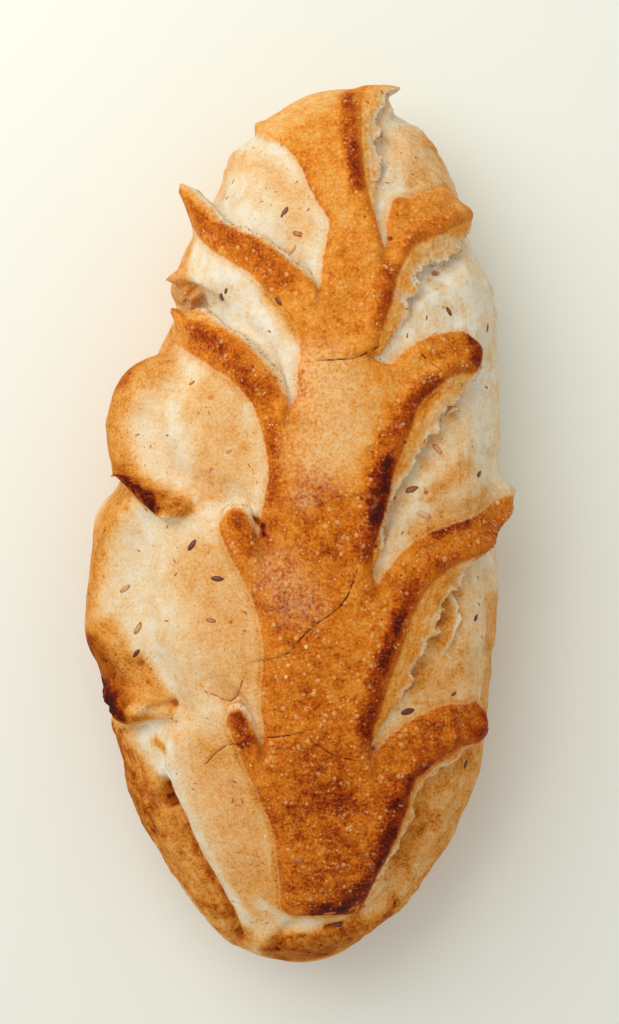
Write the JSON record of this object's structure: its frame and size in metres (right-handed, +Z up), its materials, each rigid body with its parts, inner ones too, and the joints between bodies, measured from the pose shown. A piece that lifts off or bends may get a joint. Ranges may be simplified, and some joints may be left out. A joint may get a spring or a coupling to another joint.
{
  "type": "multigrain bread loaf",
  "caption": "Long oval multigrain loaf with a flat underside, a leaf-shaped scored crust raised on top, opened pale cuts and seeds baked in.",
  "frame": {"origin": "on the surface it rests on, below the centre of its bounding box", "axes": "+Z up, +Y along the loaf towards its narrower bent end, +X across it to the right as seen from above"},
  "size_m": [0.137, 0.2809, 0.0744],
  "materials": {
    "crust": "matt baked crust, golden brown on top and pale cream in the cuts"
  },
  "bodies": {
    "root": {"loaf": "crust"}
  },
  "joints": []
}
